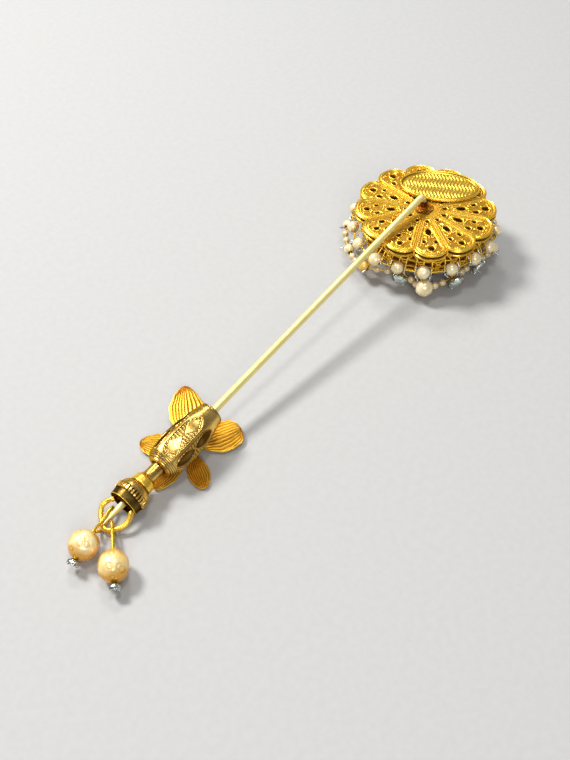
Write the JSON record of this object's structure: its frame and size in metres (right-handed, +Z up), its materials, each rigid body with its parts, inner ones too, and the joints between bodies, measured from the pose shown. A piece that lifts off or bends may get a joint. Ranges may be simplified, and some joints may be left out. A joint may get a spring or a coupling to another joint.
{
  "type": "hat pin",
  "caption": "Straight pin with a round jewelled filigree head and a sprung slide-on clutch with a leaf rosette and two hanging pearl drops.",
  "frame": {"origin": "centre of the footprint of the whole object, on the surface it lies on", "axes": "+X along the pin from its point towards the jewelled head; +Z up, away from the surface, with the back of the head facing up"},
  "size_m": [0.1019, 0.0269, 0.0125],
  "materials": {
    "gold": "bright yellow gilding",
    "old_brass": "aged, engraved",
    "pale_brass": "polished wire",
    "pearl": "pearlised coating",
    "drop_pearl": "champagne pearlised coating, dimpled",
    "silver": "bright plate",
    "stone": "faceted",
    "solder": "dull stain",
    "steel": "plain"
  },
  "bodies": {
    "head": {"pin_shaft": "pale_brass", "solder_fillet": "solder", "oval_plaque": "gold", "back_filigree": "gold", "front_filigree": "gold", "rim_wire": "gold", "tier_wire": "gold", "rim_pearl_01": "pearl", "rim_pearl_02": "pearl", "rim_pearl_03": "pearl", "rim_pearl_04": "pearl", "rim_pearl_05": "pearl", "rim_pearl_06": "pearl", "rim_pearl_07": "pearl", "rim_pearl_08": "pearl", "rim_pearl_09": "pearl", "rim_pearl_10": "pearl", "rim_pearl_11": "pearl", "rim_pearl_12": "pearl", "rim_pearl_13": "pearl", "rim_pearl_14": "pearl", "rim_pearl_15": "pearl", "rim_pearl_16": "pearl", "tip_pearl_01": "pearl", "tip_pearl_02": "pearl", "tip_pearl_03": "pearl", "tip_pearl_04": "pearl", "tip_pearl_05": "pearl", "tip_pearl_06": "pearl", "setting_01": "silver", "setting_02": "silver", "setting_03": "silver", "setting_04": "silver", "setting_05": "silver", "setting_06": "silver", "stone_01": "stone", "stone_02": "stone", "stone_03": "stone", "stone_04": "stone", "stone_05": "stone", "stone_06": "stone", "centre_cup": "gold", "centre_pearl": "pearl"},
    "clutch": {"clutch_barrel": "old_brass", "leaf_rosette": "gold", "rosette_rivet": "gold", "clutch_spring": "steel"},
    "plunger": {"grip_collet": "steel", "plunger_neck": "old_brass", "knurled_bell": "old_brass", "end_loop": "gold"},
    "left_drop": {"left_drop_wire": "gold", "left_drop_pearl": "drop_pearl", "left_drop_setting": "silver", "left_drop_stone": "stone"},
    "right_drop": {"right_drop_wire": "gold", "right_drop_pearl": "drop_pearl", "right_drop_setting": "silver", "right_drop_stone": "stone"}
  },
  "joints": [
    {"name": "clutch_slide", "type": "slide", "parent": "head", "child": "clutch", "axis": [0.9923, 0, 0.1236], "range_m": [-0.025, 0.0005]},
    {"name": "plunger_pull", "type": "slide", "parent": "clutch", "child": "plunger", "axis": [-0.9923, 0, -0.1236], "range_m": [0, 0.0012], "stiffness_N_per_m": 200, "deforming": ["clutch_spring"]},
    {"name": "left_drop_swing", "type": "hinge", "parent": "plunger", "child": "left_drop", "pos_m": [-0.04275, 0.00165, 0.001], "axis": [0.6046, 0.7965, 0], "range_deg": [0, 15]},
    {"name": "right_drop_swing", "type": "hinge", "parent": "plunger", "child": "right_drop", "pos_m": [-0.04247, -0.00019, 0.001], "axis": [-0.6018, 0.7986, 0], "range_deg": [0, 45]}
  ]
}
